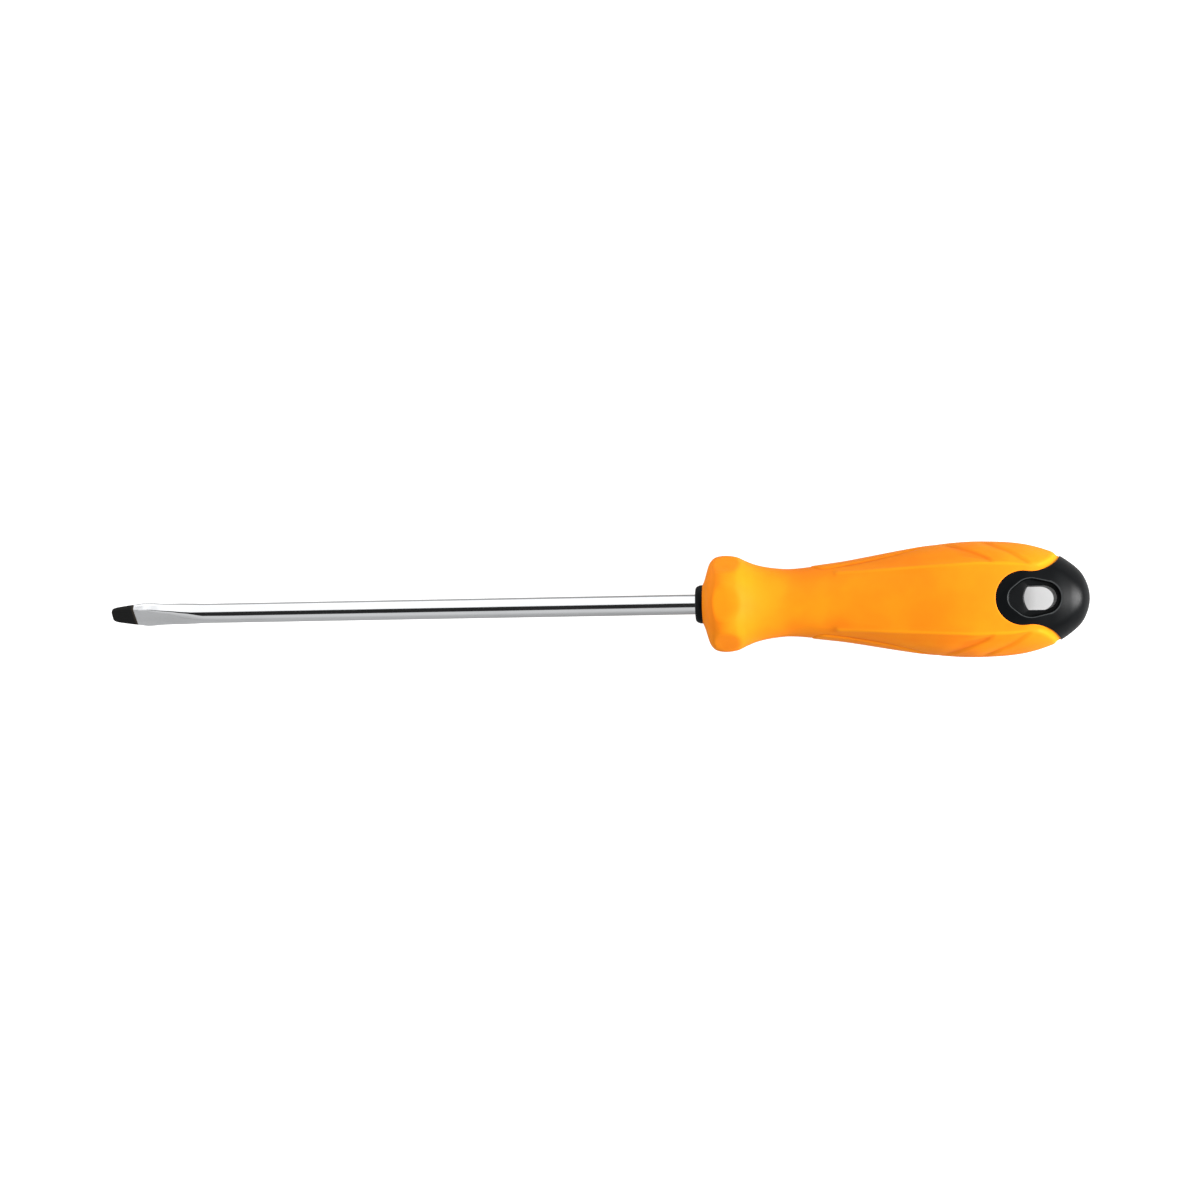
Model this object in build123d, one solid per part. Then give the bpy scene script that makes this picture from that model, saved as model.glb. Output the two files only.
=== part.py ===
"""Slotted screwdriver, 5 x 150 mm: a steel shank, a moulded core and a soft grip sleeve.

Frame: the tool's axis is X. The origin is the middle of the blade's end face, the handle lies
towards +X, and +Z is the face that the hanging hole opens on. All sizes are millimetres.
"""

from build123d import *
import os

# --- shank -------------------------------------------------------------------------------------
SHANK_RADIUS = 2.5
EXPOSED_LENGTH = 150.0
TANG_END = 222.0
TANG_CHAMFER = 0.6

# The blade is turned, flared and ground flat on two sides, all inside the same steel bar.
BLADE_ROLL_DEG = -42.6
BLADE_ROOT = 24.0
BLADE_CORNER = (0.55, 2.1)
BLADE_END_HALF_WIDTH = 1.6
BLADE_SIDE = [(4.3, 2.78), (6.6, 3.02), (9.2, 3.3), (13.0, 2.94), (18.2, 2.74)]
GROUND_SIDE = [(0.0, 0.42), (4.3, 0.74), (9.2, 1.28), (13.0, 1.55), (16.0, 1.7), (20.5, 2.15), (23.0, 2.6)]
GROUND_HALF_DEPTH = 5.0

# Forged ears on the tang keep it from turning in the core.
EAR_LENGTH = 8.0
EAR_RAMP = 1.8
EAR_SPAN = 8.4
EAR_THICKNESS = 2.2
EARS = [(182.0, 0.0), (208.0, 90.0)]

# --- handle, outside ---------------------------------------------------------------------------
COLLAR_FRONT_RADIUS = 4.1
COLLAR_RADIUS = 4.85
SLEEVE_FRONT = 151.8
FLANGE_AT = 158.2
FLANGE_RADIUS = 12.12
FLANGE_APOTHEM = 11.35
FLANGE_SIDES = 6
FLANGE_REAR = 165.0
FLANGE_FACE = [(152.9, 7.6), (153.9, 10.3), (155.2, 11.6)]
FLANGE_BACK = [(161.5, 11.4), (165.5, 9.65), (169.0, 8.9)]
NECK_AT = 174.0
NECK_RADIUS = 8.5
GRIP_SWELL = [(181.5, 9.2), (191.5, 10.78), (206.5, 13.28)]
BULGE_AT = 221.5
BULGE_RADIUS = 14.5
DOME = [(231.4, 13.8), (238.85, 11.72), (243.3, 9.2), (246.8, 5.7)]
HANDLE_END = 248.4

# The front and back of the grip are crowned panels, turned about an axis below the tool's own.
PANEL_DROP = 12.0
PANEL_FRONT = (166.0, 10.4)
PANEL_SLOPE = [(175.0, 8.8), (180.0, 8.7), (185.6, 8.95), (199.6, 10.7)]
PANEL_CROWN = [(216.5, 12.95), (231.2, 12.25), (238.5, 10.5), (243.0, 8.6), (245.2, 7.3)]
PANEL_REAR = (HANDLE_END, 4.2)

# --- handle, inside ----------------------------------------------------------------------------
CORE_RELIEF = 0.15
SPIGOT_RADIUS = 4.4
CORE_FRONT = (155.0, 6.6)
CORE_WAIST = [(165.0, 6.3), (176.0, 6.3), (191.5, 8.6), (206.5, 11.1)]
CORE_BULGE = (BULGE_AT, 12.2)
CORE_REAR = [(231.4, 11.5), (238.85, 9.5), (243.3, 7.0)]
PANEL_WALL = 1.8

# --- rear window of the sleeve, dished recess and hanging hole ------------------------------------
WINDOW_AT = 231.36
WINDOW_RADIUS = 6.8
WINDOW_WAIST = 6.66
WINDOW_CORNER_AT = 238.6
WINDOW_CORNER_RADIUS = 9.5
WINDOW_WING = (247.0, 19.5)
HALF_REACH = 20.0
DISH_CIRCLES = [(230.85, 3.3), (233.4, 4.9), (236.75, 4.15)]
DISH_DEPTH = 1.7
HOLE_FRONT = 231.7
HOLE_SHOULDER = 232.8
HOLE_REAR = 239.85
HOLE_HALF_WIDTH = 3.03


def shifted(points, rise):
    """The same outline points, moved away from the axis by rise."""
    return [(x, radius + rise) for x, radius in points]


def turned(outline, closing):
    """Solid of revolution about X of the area between an outline and the closing points."""
    return revolve(make_face(outline + Polyline(*closing)), Axis.X, 360)


def blade():
    """Flared blade with rounded corners and two hollow-ground flats."""
    end = Line((0, 0), (0, BLADE_END_HALF_WIDTH))
    corner = TangentArc((0, BLADE_END_HALF_WIDTH), BLADE_CORNER, tangent=(0, 1))
    side = Spline(
        BLADE_CORNER,
        *BLADE_SIDE,
        (BLADE_ROOT, SHANK_RADIUS),
        tangents=((1, 0.25), (1, 0)),
    )
    bulb = turned(end + corner + side, [(BLADE_ROOT, SHANK_RADIUS), (BLADE_ROOT, 0), (0, 0)])

    root_x, root_half = GROUND_SIDE[-1]
    wall = Polyline((0, 0), GROUND_SIDE[0])
    back = Polyline((root_x, root_half), (BLADE_ROOT, root_half), (BLADE_ROOT, 0), (0, 0))
    outline = make_face(wall + Spline(*GROUND_SIDE) + back)
    half = extrude(outline, GROUND_HALF_DEPTH, both=True)
    return Rot(BLADE_ROLL_DEG, 0, 0) * (bulb & (half + mirror(half, Plane.XZ)))


def ears(centre, roll):
    """A pair of flat forged ears across the tang."""
    base = EAR_LENGTH / 2
    top = base - EAR_RAMP
    tall = EAR_SPAN / 2
    upper = Polyline((-base, 0), (-top, tall), (top, tall), (base, 0))
    outline = upper + Polyline((base, 0), (top, -tall), (-top, -tall), (-base, 0))
    return Pos(centre, 0, 0) * Rot(roll, 0, 0) * extrude(make_face(outline), EAR_THICKNESS / 2, both=True)


def shank():
    """One steel piece: blade, round rod and the eared tang inside the handle."""
    rod = turned(
        Line((BLADE_ROOT, SHANK_RADIUS), (TANG_END - TANG_CHAMFER, SHANK_RADIUS)),
        [
            (TANG_END - TANG_CHAMFER, SHANK_RADIUS),
            (TANG_END, SHANK_RADIUS - TANG_CHAMFER),
            (TANG_END, 0),
            (BLADE_ROOT, 0),
            (BLADE_ROOT, SHANK_RADIUS),
        ],
    )
    for centre, roll in EARS:
        rod += ears(centre, roll)
    return rod + blade()


def panels(rise):
    """Slab with a crowned front and back, which flattens the two sides that face up and down."""
    crown = Spline(PANEL_FRONT, *shifted(PANEL_SLOPE + PANEL_CROWN, rise), shifted([PANEL_REAR], rise)[0])
    raised = Pos(0, PANEL_DROP) * crown
    front_x = SLEEVE_FRONT - 5
    tall = PANEL_DROP + HALF_REACH
    rear = shifted([PANEL_REAR], rise + PANEL_DROP)[0]
    front = shifted([PANEL_FRONT], PANEL_DROP)[0]
    closing = [rear, (HANDLE_END, 0), (front_x, 0), (front_x, tall), (PANEL_FRONT[0], tall), front]
    upper = Pos(0, 0, -PANEL_DROP) * turned(raised, closing)
    return upper & mirror(upper, Plane.XY)


def flange_trim():
    """What six flats take off the round flange."""
    length = FLANGE_REAR - SLEEVE_FRONT + 1
    across = Plane.YZ.offset(SLEEVE_FRONT - 1)
    hexagon = RegularPolygon(FLANGE_APOTHEM, FLANGE_SIDES, major_radius=False, rotation=0)
    return extrude(across * Circle(HALF_REACH), length) - extrude(across * hexagon, length)


def grip_body(rise):
    """Whole outside of the grip, raised or lowered all over by rise."""
    flange = Spline(
        (SLEEVE_FRONT, COLLAR_RADIUS),
        *FLANGE_FACE,
        (FLANGE_AT, FLANGE_RADIUS),
        tangents=((1, 2), (1, 0)),
    )
    neck = Spline(
        (FLANGE_AT, FLANGE_RADIUS),
        *FLANGE_BACK,
        (NECK_AT, NECK_RADIUS),
        tangents=((1, 0), (1, 0)),
    )
    crest = (BULGE_AT, BULGE_RADIUS + rise)
    swell = Spline((NECK_AT, NECK_RADIUS), *shifted(GRIP_SWELL, rise), crest, tangents=((1, 0), (1, 0)))
    dome = Spline(crest, *shifted(DOME, rise), (HANDLE_END, 0), tangents=((1, 0), (0, -1)))
    closing = [(HANDLE_END, 0), (SLEEVE_FRONT, 0), (SLEEVE_FRONT, COLLAR_RADIUS)]
    body = turned(flange + neck + swell + dome, closing)
    return (body - flange_trim()) & panels(rise)


def rear_window():
    """Prism through the rear of the grip where the core shows: a round tongue and the dome."""
    wing_x, wing_y = WINDOW_WING
    end_x = HANDLE_END + 10
    outline = Polyline(
        (WINDOW_AT, -WINDOW_WAIST),
        (WINDOW_CORNER_AT, -WINDOW_WAIST),
        (wing_x, -wing_y),
        (end_x, -wing_y),
        (end_x, wing_y),
        (wing_x, wing_y),
        (WINDOW_CORNER_AT, WINDOW_WAIST),
        (WINDOW_AT, WINDOW_WAIST),
        (WINDOW_AT, -WINDOW_WAIST),
    )
    opening = make_face(outline)
    throats = [v for v in opening.vertices() if abs(v.X - WINDOW_CORNER_AT) < 0.01]
    opening = fillet(throats, WINDOW_CORNER_RADIUS)
    opening += Pos(WINDOW_AT, 0) * Circle(WINDOW_RADIUS)
    return extrude(opening, HALF_REACH, both=True)


def hanging_hole():
    """Slot through the handle: bowed in front, flat along both sides and round behind."""
    wide = HOLE_HALF_WIDTH
    turn = HOLE_REAR - wide
    bow = ThreePointArc((HOLE_SHOULDER, -wide), (HOLE_FRONT, 0), (HOLE_SHOULDER, wide))
    side = Line((HOLE_SHOULDER, wide), (turn, wide))
    rear = ThreePointArc((turn, wide), (HOLE_REAR, 0), (turn, -wide))
    other_side = Line((turn, -wide), (HOLE_SHOULDER, -wide))
    return extrude(make_face(bow + side + rear + other_side), HALF_REACH, both=True)


def dish():
    """Shallow recess round the hole on both faces, a constant depth below the surface."""
    circles = [Pos(x, 0) * Circle(radius) for x, radius in DISH_CIRCLES]
    edges = [edge for circle in circles for edge in circle.edges()]
    prism = extrude(make_hull(edges), HALF_REACH, both=True)
    return prism - grip_body(-CORE_RELIEF - DISH_DEPTH)


def inner_core():
    """Hidden part of the core that the sleeve is moulded over."""
    outline = Spline(CORE_FRONT, *CORE_WAIST, CORE_BULGE, *CORE_REAR)
    end_x = CORE_REAR[-1][0]
    spigot = [(CORE_FRONT[0], SPIGOT_RADIUS), (SLEEVE_FRONT, SPIGOT_RADIUS)]
    closing = [CORE_REAR[-1], (end_x, 0), (SLEEVE_FRONT, 0), *reversed(spigot), CORE_FRONT]
    return turned(outline, closing) & panels(-PANEL_WALL)


def collar():
    """Exposed black ring at the front of the core, with its front edge rounded."""
    front = (EXPOSED_LENGTH, COLLAR_FRONT_RADIUS)
    rim = (SLEEVE_FRONT, COLLAR_RADIUS)
    edge = TangentArc(front, rim, tangent=(0.6, 1))
    return turned(edge, [rim, (SLEEVE_FRONT, 0), (EXPOSED_LENGTH, 0), front])


def core_blank():
    """Core before the shank, the recess and the hole are taken out."""
    return collar() + inner_core() + (grip_body(-CORE_RELIEF) & rear_window())


def handle_core():
    """Hard moulded core: collar, hidden body, tongue and dome, with the hanging hole."""
    return core_blank() - shank() - dish() - hanging_hole()


def grip_sleeve():
    """Soft sleeve moulded over the core, open at the rear where the core shows."""
    return grip_body(0) - rear_window() - inner_core()


if __name__ == "__main__":
    os.makedirs("parts", exist_ok=True)
    PIECES = {
        "shank": shank,
        "handle_core": handle_core,
        "grip_sleeve": grip_sleeve,
    }
    for node, make in PIECES.items():
        export_step(make(), f"parts/{node}.step")
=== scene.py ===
"""Studio scene of a slotted screwdriver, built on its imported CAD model.

The tool's axis is X, with the blade's end face at the origin and the handle towards +X. The +Z side,
with the hanging slot in it, faces the camera. Sizes in the classes are millimetres, and a mesh gets
its metres when its vertices are placed.
"""

from __future__ import annotations

import logging
import math
from dataclasses import dataclass, field
from enum import Enum

import bpy
import numpy as np
from mathutils import Matrix, Vector

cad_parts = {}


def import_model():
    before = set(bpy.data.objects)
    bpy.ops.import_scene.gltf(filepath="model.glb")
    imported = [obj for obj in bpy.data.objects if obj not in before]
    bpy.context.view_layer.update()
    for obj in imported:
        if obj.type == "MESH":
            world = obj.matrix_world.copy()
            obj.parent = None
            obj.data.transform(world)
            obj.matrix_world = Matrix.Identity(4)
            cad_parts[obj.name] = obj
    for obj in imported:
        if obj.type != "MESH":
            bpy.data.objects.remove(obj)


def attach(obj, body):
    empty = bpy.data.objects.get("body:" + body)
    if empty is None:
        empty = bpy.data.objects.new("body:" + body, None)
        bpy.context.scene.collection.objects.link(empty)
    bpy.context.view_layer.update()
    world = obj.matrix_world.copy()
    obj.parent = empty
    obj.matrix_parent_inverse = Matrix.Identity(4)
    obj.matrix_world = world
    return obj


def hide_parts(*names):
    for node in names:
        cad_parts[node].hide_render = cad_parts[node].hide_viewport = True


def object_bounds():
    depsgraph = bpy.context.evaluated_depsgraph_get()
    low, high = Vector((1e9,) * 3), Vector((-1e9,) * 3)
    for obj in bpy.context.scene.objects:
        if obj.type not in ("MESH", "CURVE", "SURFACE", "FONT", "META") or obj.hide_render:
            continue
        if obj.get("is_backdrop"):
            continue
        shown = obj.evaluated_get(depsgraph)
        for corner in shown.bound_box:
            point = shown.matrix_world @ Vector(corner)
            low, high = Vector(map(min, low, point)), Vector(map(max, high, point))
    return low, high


LOG = logging.getLogger("screwdriver")
MM = 0.001
ROOT = "root"
RELIEF_LAYER = "relief"
# Layer for the painted highlight along the dish's brink.
RIM_HIGHLIGHT_LAYER = "painted_rim_highlight"
QUARTER = math.pi / 2
TINY = 1e-3

Span = tuple[float, float]
Colour = tuple[float, float, float]
Points = tuple[Span, ...]


class Slot(Enum):
    """Material slots of the record."""

    STEEL = "shank_steel"
    CORE = "core_plastic"
    SLEEVE = "sleeve_rubber"


class Node(Enum):
    """Pieces of the CAD model."""

    SHANK = "shank"
    CORE = "handle_core"
    SLEEVE = "grip_sleeve"


# --- small tools -----------------------------------------------------------------------------------


def smooth(value: np.ndarray, low: float, high: float) -> np.ndarray:
    """Soft step.

    Args:
        value: Where to read the step.
        low: Value at which the step starts from 0.
        high: Value at which the step reaches 1, above or below low.

    Returns:
        The step's height, from 0 to 1.
    """
    t = np.clip((value - low) / (high - low), 0.0, 1.0)
    return t * t * (3.0 - 2.0 * t)


def bump(value: np.ndarray, width: float) -> np.ndarray:
    """Round-topped bump of height 1 around zero, with the given half width."""
    return np.exp(-((value / width) ** 2))


def soft_min(a: np.ndarray, b: np.ndarray, blend: float) -> np.ndarray:
    """Smaller of two heights, with the crease between them rounded over.

    Args:
        a: First height.
        b: Second height.
        blend: Difference of the heights within which the crease is round.

    Returns:
        The blended smaller height.
    """
    h = np.clip(0.5 + 0.5 * (b - a) / blend, 0.0, 1.0)
    return b + (a - b) * h - blend * h * (1.0 - h)


@dataclass(frozen=True)
class SmoothLine:
    """A smooth line through a few given points.

    Attributes:
        points: Places and heights, with the places rising.
        start: Direction at the first point, or None for a free end.
        end: Direction at the last point, or None for a free end.
    """

    points: Points
    start: Span | None = None
    end: Span | None = None

    def traced(self, steps: int = 60) -> np.ndarray:
        """Points close together along the line.

        Args:
            steps: Pieces that each span is cut into.

        Returns:
            One row for each traced point: place and height.
        """
        knots = np.array(self.points, float)
        chord = np.linalg.norm(np.diff(knots, axis=0), axis=1)
        t = np.concatenate([[0.0], np.cumsum(chord)])
        slope = np.empty_like(knots)
        slope[1:-1] = (knots[2:] - knots[:-2]) / (t[2:] - t[:-2])[:, None]
        slope[0] = (knots[1] - knots[0]) / chord[0]
        slope[-1] = (knots[-1] - knots[-2]) / chord[-1]
        if self.start:
            slope[0] = np.array(self.start) / np.hypot(*self.start)
        if self.end:
            slope[-1] = np.array(self.end) / np.hypot(*self.end)
        u = np.linspace(0.0, 1.0, steps, endpoint=False)[:, None]
        spans = []
        for i, length in enumerate(chord):
            spans.append(
                (2 * u**3 - 3 * u**2 + 1) * knots[i]
                + (u**3 - 2 * u**2 + u) * slope[i] * length
                + (3 * u**2 - 2 * u**3) * knots[i + 1]
                + (u**3 - u**2) * slope[i + 1] * length
            )
        return np.vstack([*spans, knots[-1:]])

    def at(self, place: np.ndarray) -> np.ndarray:
        """Height of the line at each place."""
        traced = self.traced()
        return np.interp(place, traced[:, 0], traced[:, 1])


def even_spread(line: np.ndarray, count: int) -> np.ndarray:
    """Points evenly spaced by length along a traced line.

    Args:
        line: Rows of coordinates along the line.
        count: How many points to return.

    Returns:
        The evenly spaced rows, ends included.
    """
    length = np.concatenate([[0.0], np.cumsum(np.linalg.norm(np.diff(line, axis=0), axis=1))])
    wanted = np.linspace(0.0, length[-1], count)
    return np.column_stack([np.interp(wanted, length, column) for column in line.T])


def arc(centre_x: float, radius: float, sweep: np.ndarray, centre_y: float = 0.0) -> np.ndarray:
    """Rows of x and y round a centre, at the angles of a sweep."""
    return np.column_stack([centre_x + radius * np.cos(sweep), centre_y + radius * np.sin(sweep)])


def cylinder_to_space(x: np.ndarray, angle: np.ndarray, radius: np.ndarray) -> np.ndarray:
    """Coordinates of points given by their place, angle and radius about the axis."""
    return np.stack([x, radius * np.cos(angle), radius * np.sin(angle)], axis=-1)


def turned_rows(outline: list[Span], level: np.ndarray) -> list[np.ndarray]:
    """Rows round the axis at the given angles, one for each place and radius of an outline."""
    return [cylinder_to_space(np.full_like(level, x), level, np.full_like(level, radius)) for x, radius in outline]


# --- modelling by hand ------------------------------------------------------------------------------


def start_fresh() -> None:
    """Leaves nothing selected, so that the next operator acts only on its own piece."""
    if bpy.context.object and bpy.context.object.mode != "OBJECT":
        bpy.ops.object.mode_set(mode="OBJECT")
    bpy.ops.object.select_all(action="DESELECT")


def pick(*pieces: bpy.types.Object) -> None:
    """Selects these pieces and no others, with the first one active.

    Args:
        pieces: What to select.
    """
    start_fresh()
    for piece in pieces:
        piece.select_set(True)
    bpy.context.view_layer.objects.active = pieces[0]


def vertex_places(piece: bpy.types.Object) -> np.ndarray:
    """Rows of the coordinates of a piece's vertices, in metres.

    Args:
        piece: The piece to read.

    Returns:
        One row of three coordinates for each vertex.
    """
    flat = np.empty(len(piece.data.vertices) * 3)
    piece.data.vertices.foreach_get("co", flat)
    return flat.reshape(-1, 3)


def place_vertices(piece: bpy.types.Object, places: np.ndarray) -> None:
    """Moves a piece's vertices to rows of coordinates, in metres."""
    piece.data.vertices.foreach_set("co", places.ravel())
    piece.data.update()


def keep_layer(piece: bpy.types.Object, name: str, values: np.ndarray) -> None:
    """Keeps a value for each vertex as a layer that the piece's finish can read."""
    layer = piece.data.attributes.new(name, "FLOAT", "POINT")
    layer.data.foreach_set("value", values)


def patch(name: str, places: np.ndarray) -> bpy.types.Object:
    """Grid primitive laid over a table of places.

    Args:
        name: Name of the new object.
        places: Array of rows by columns by three coordinates, in millimetres.

    Returns:
        The patch, with its vertices at those places.
    """
    rows, columns = places.shape[:2]
    start_fresh()
    bpy.ops.mesh.primitive_grid_add(x_subdivisions=columns - 1, y_subdivisions=rows - 1, size=2)
    piece = bpy.context.object
    piece.name = name
    across, down, _ = vertex_places(piece).T
    column = np.rint((across + 1) / 2 * (columns - 1)).astype(int)
    row = np.rint((down + 1) / 2 * (rows - 1)).astype(int)
    place_vertices(piece, places[row, column] * MM)
    return piece


def joined(name: str, pieces: list[bpy.types.Object]) -> bpy.types.Object:
    """Several patches as one object.

    Args:
        name: Name of the object.
        pieces: The patches, the first of which takes in the rest.

    Returns:
        The one object.
    """
    pick(*pieces)
    bpy.ops.object.join()
    pieces[0].name = name
    return pieces[0]


def mirrored_whole(piece: bpy.types.Object) -> None:
    """Turns a quarter of a handle part into the whole of it, welded and facing outwards.

    Args:
        piece: The quarter, on the side of +Y and +Z.
    """
    pick(piece)
    mirror = piece.modifiers.new("halves", "MIRROR")
    mirror.use_axis = (False, True, True)
    mirror.merge_threshold = 2e-6
    bpy.ops.object.modifier_apply(modifier=mirror.name)
    weld_and_face_out(piece)


def weld_and_face_out(piece: bpy.types.Object) -> None:
    """Merges doubled vertices, drops faces left without area and turns normals outwards.

    Args:
        piece: The piece to clean.
    """
    pick(piece)
    bpy.ops.object.mode_set(mode="EDIT")
    bpy.ops.mesh.select_mode(type="VERT")
    bpy.ops.mesh.select_all(action="SELECT")
    bpy.ops.mesh.remove_doubles(threshold=3e-6)
    bpy.ops.mesh.dissolve_degenerate(threshold=1e-6)
    bpy.ops.mesh.select_all(action="SELECT")
    bpy.ops.mesh.normals_make_consistent(inside=False)
    bpy.ops.object.mode_set(mode="OBJECT")


def smooth_shaded(piece: bpy.types.Object, crease_deg: float) -> None:
    """Smooth shading, kept crisp at edges sharper than crease_deg."""
    pick(piece)
    bpy.ops.object.shade_smooth_by_angle(angle=math.radians(crease_deg))


# --- the handle's shape -----------------------------------------------------------------------------


@dataclass(frozen=True)
class GripForm:
    """Outer form of the handle: a turned profile, a six-sided flange and two crowned panels.

    Angles are measured about the axis from the handle's wide side, +Y, to its panel side, +Z.
    """

    front: float = 151.8
    rear: float = 248.4
    profile: Points = (
        (151.8, 4.85), (152.4, 6.3), (152.9, 8.0), (153.4, 9.6), (153.9, 10.6), (154.9, 11.6),
        (156.4, 12.05), (158.2, 12.12), (160.4, 11.8), (161.5, 11.35), (163.0, 10.6), (165.5, 9.65),
        (169.0, 8.9), (174.0, 8.5), (181.5, 9.25), (191.5, 10.78), (206.5, 13.28), (214.0, 14.22),
        (221.5, 14.5), (231.4, 13.8), (238.85, 11.72), (243.3, 9.2), (246.8, 5.7), (248.4, 0.0),
    )
    crown: Points = (
        (150.0, 16.0), (164.0, 10.9), (170.0, 9.6), (175.0, 9.0), (180.0, 8.85), (185.6, 9.0),
        (199.6, 10.7), (216.5, 12.95), (231.2, 12.25), (238.5, 10.5), (243.0, 8.6), (245.2, 7.3),
        (247.0, 5.85), (249.5, 3.0),
    )
    panel_drop: float = 12.0
    panel_edge: float = 0.35
    panel_start: float = 1.25
    panel_from: Span = (182.0, 190.0)
    flange_apothem: float = 11.35
    flange_edge: float = 0.35
    flange_sector_deg: float = 60.0
    flange_fade: Span = (164.0, 166.0)
    flange_lift: float = 10.0
    bulge_from: Span = (176.0, 184.0)
    bulge_to: Span = (248.4, 246.4)
    halvings: int = 40
    wall_depth: float = 2.3
    wall_share: float = 0.8
    inner_line: Points = (
        (155.0, 6.6), (165.0, 6.3), (176.0, 6.3), (191.5, 8.6), (206.5, 11.0), (221.5, 12.0),
        (231.4, 11.3), (238.85, 9.3), (243.3, 6.8),
    )
    settled: float = 0.7
    crease_deg: float = 50.0

    def side_line(self) -> SmoothLine:
        """The turned profile as a line, square to the axis at its end."""
        return SmoothLine(self.profile, start=(1, 2), end=(0, -1))

    def turned(self, x: np.ndarray, rise: float) -> np.ndarray:
        """Radius of the turned profile, moved out by rise over the bulge."""
        over = smooth(x, *self.bulge_from) * smooth(x, *self.bulge_to)
        return self.side_line().at(x) + rise * over

    def radius(self, x: np.ndarray, angle: np.ndarray, rise: float = 0.0) -> np.ndarray:
        """Distance of the surface from the axis.

        Args:
            x: Places along the axis.
            angle: Angles about it, from the wide side.
            rise: How far the surface is moved out.

        Returns:
            The radius at each place.
        """
        x, angle = np.broadcast_arrays(np.asarray(x, float), np.asarray(angle, float))
        turned = self.turned(x, rise)
        sector = math.radians(self.flange_sector_deg)
        from_flat = np.mod(angle, sector) - sector / 2
        flat = self.flange_apothem / np.cos(from_flat)
        flat = flat + smooth(x, *self.flange_fade) * self.flange_lift
        out = soft_min(turned, flat, self.flange_edge)
        from_panel = QUARTER - angle
        drop = self.panel_drop
        top = SmoothLine(self.crown).at(x) + rise + drop
        panel = -drop * np.cos(from_panel) + np.sqrt(top**2 - (drop * np.sin(from_panel)) ** 2)
        edge = self.panel_edge + self.panel_start * (1 - smooth(x, *self.panel_from))
        return soft_min(out, panel, edge)

    def angle_of(self, x: np.ndarray, y: np.ndarray, rise: float = 0.0) -> np.ndarray:
        """Angle at which the surface stands y away from the middle plane, by halving.

        Args:
            x: Places along the axis.
            y: Distances from the middle plane.
            rise: How far the surface is moved out.

        Returns:
            The angles about the axis, from the wide side.
        """
        low = np.zeros_like(x)
        high = np.full_like(x, QUARTER)
        for _ in range(self.halvings):
            middle = (low + high) / 2
            outside = self.radius(x, middle, rise) * np.cos(middle) > y
            low = np.where(outside, middle, low)
            high = np.where(outside, high, middle)
        return (low + high) / 2

    def hidden_rows(self, opening: np.ndarray, level: np.ndarray, count: int, gap: float = 0.0) -> list[np.ndarray]:
        """Rows of the hidden face between the core and the sleeve, from the rear opening to the nose.

        Args:
            opening: Row of points at the opening, whose places and angles the face starts from.
            level: Angles that the rows settle to.
            count: How many rows there are.
            gap: How far the rows stay inside the face.

        Returns:
            The rows, the last of them at the nose.
        """
        inner = SmoothLine(self.inner_line)
        nose = self.inner_line[0][0]
        first = np.arctan2(opening[:, 2], opening[:, 1])
        rows = []
        for t in np.linspace(0.0, 1.0, count + 1)[1:]:
            x = opening[:, 0] + (nose - opening[:, 0]) * t
            angle = first + (level - first) * smooth(t, 0.0, self.settled)
            room = self.radius(x, angle) - self.wall_depth * self.wall_share
            rows.append(cylinder_to_space(x, angle, np.minimum(inner.at(x), room) - gap))
        return rows


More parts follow.
